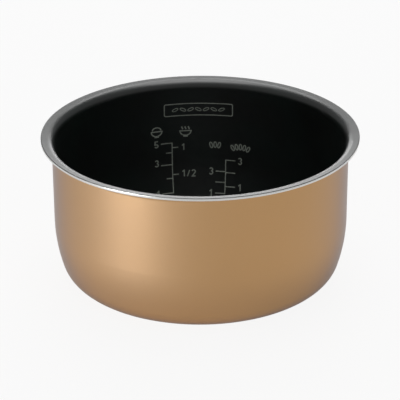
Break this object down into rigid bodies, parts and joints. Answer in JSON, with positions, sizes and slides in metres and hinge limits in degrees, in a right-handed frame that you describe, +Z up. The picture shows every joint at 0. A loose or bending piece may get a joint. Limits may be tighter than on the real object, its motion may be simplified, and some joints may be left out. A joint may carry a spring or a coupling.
{
  "type": "rice cooker inner pot",
  "caption": "Round deep-drawn inner pot of a rice cooker with a flared lip, gold enamel outside, black non-stick lining inside and printed filling scales on the inside wall.",
  "frame": {"origin": "middle of the foot, on the surface that the pot stands on", "axes": "+Z up along the pot's axis; the printed scales are on the +Y side of the inside wall, read from -Y"},
  "size_m": [0.2144, 0.2144, 0.1016],
  "materials": {
    "bare_aluminium": "fine turned",
    "gold_enamel": "satin metallic enamel",
    "black_lining": "satin non-stick coat",
    "scale_ink": "matt print"
  },
  "bodies": {
    "root": {"pot_shell": "bare_aluminium", "outer_enamel": "gold_enamel", "inner_lining": "black_lining", "left_scale_rule": "scale_ink", "right_scale_rule": "scale_ink", "panel_frame": "scale_ink"}
  },
  "joints": []
}
